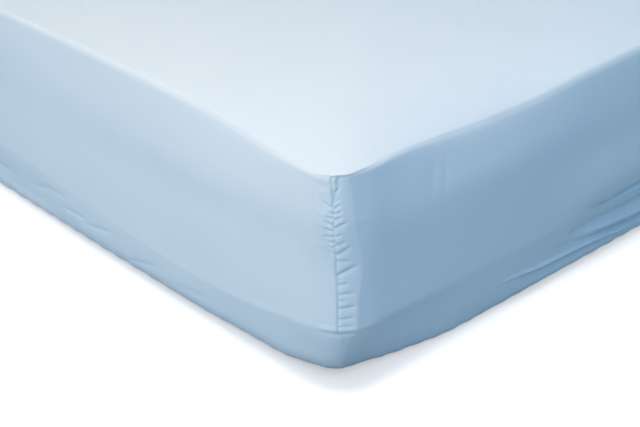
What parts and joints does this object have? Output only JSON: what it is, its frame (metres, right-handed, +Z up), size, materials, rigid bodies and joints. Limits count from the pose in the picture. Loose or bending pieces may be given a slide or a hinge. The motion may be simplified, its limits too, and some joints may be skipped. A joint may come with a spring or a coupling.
{
  "type": "fitted sheet on a mattress",
  "caption": "Pale-blue cotton fitted sheet drawn over a plain single mattress, with gathered corner seams and its hem turned under.",
  "frame": {"origin": "on the floor plane, under the middle of the mattress", "axes": "+Z up, the length along Y and the width along X; the corner at +X, -Y is the one with the seam allowance pressed to the long side"},
  "size_m": [0.9024, 2, 0.25],
  "materials": {
    "sheet_cotton": "fine plain-weave cotton, smooth and matt, pale blue",
    "mattress_ticking": "plain off-white ticking, matt"
  },
  "bodies": {
    "root": {"fitted_sheet": "sheet_cotton", "mattress": "mattress_ticking"}
  },
  "joints": []
}
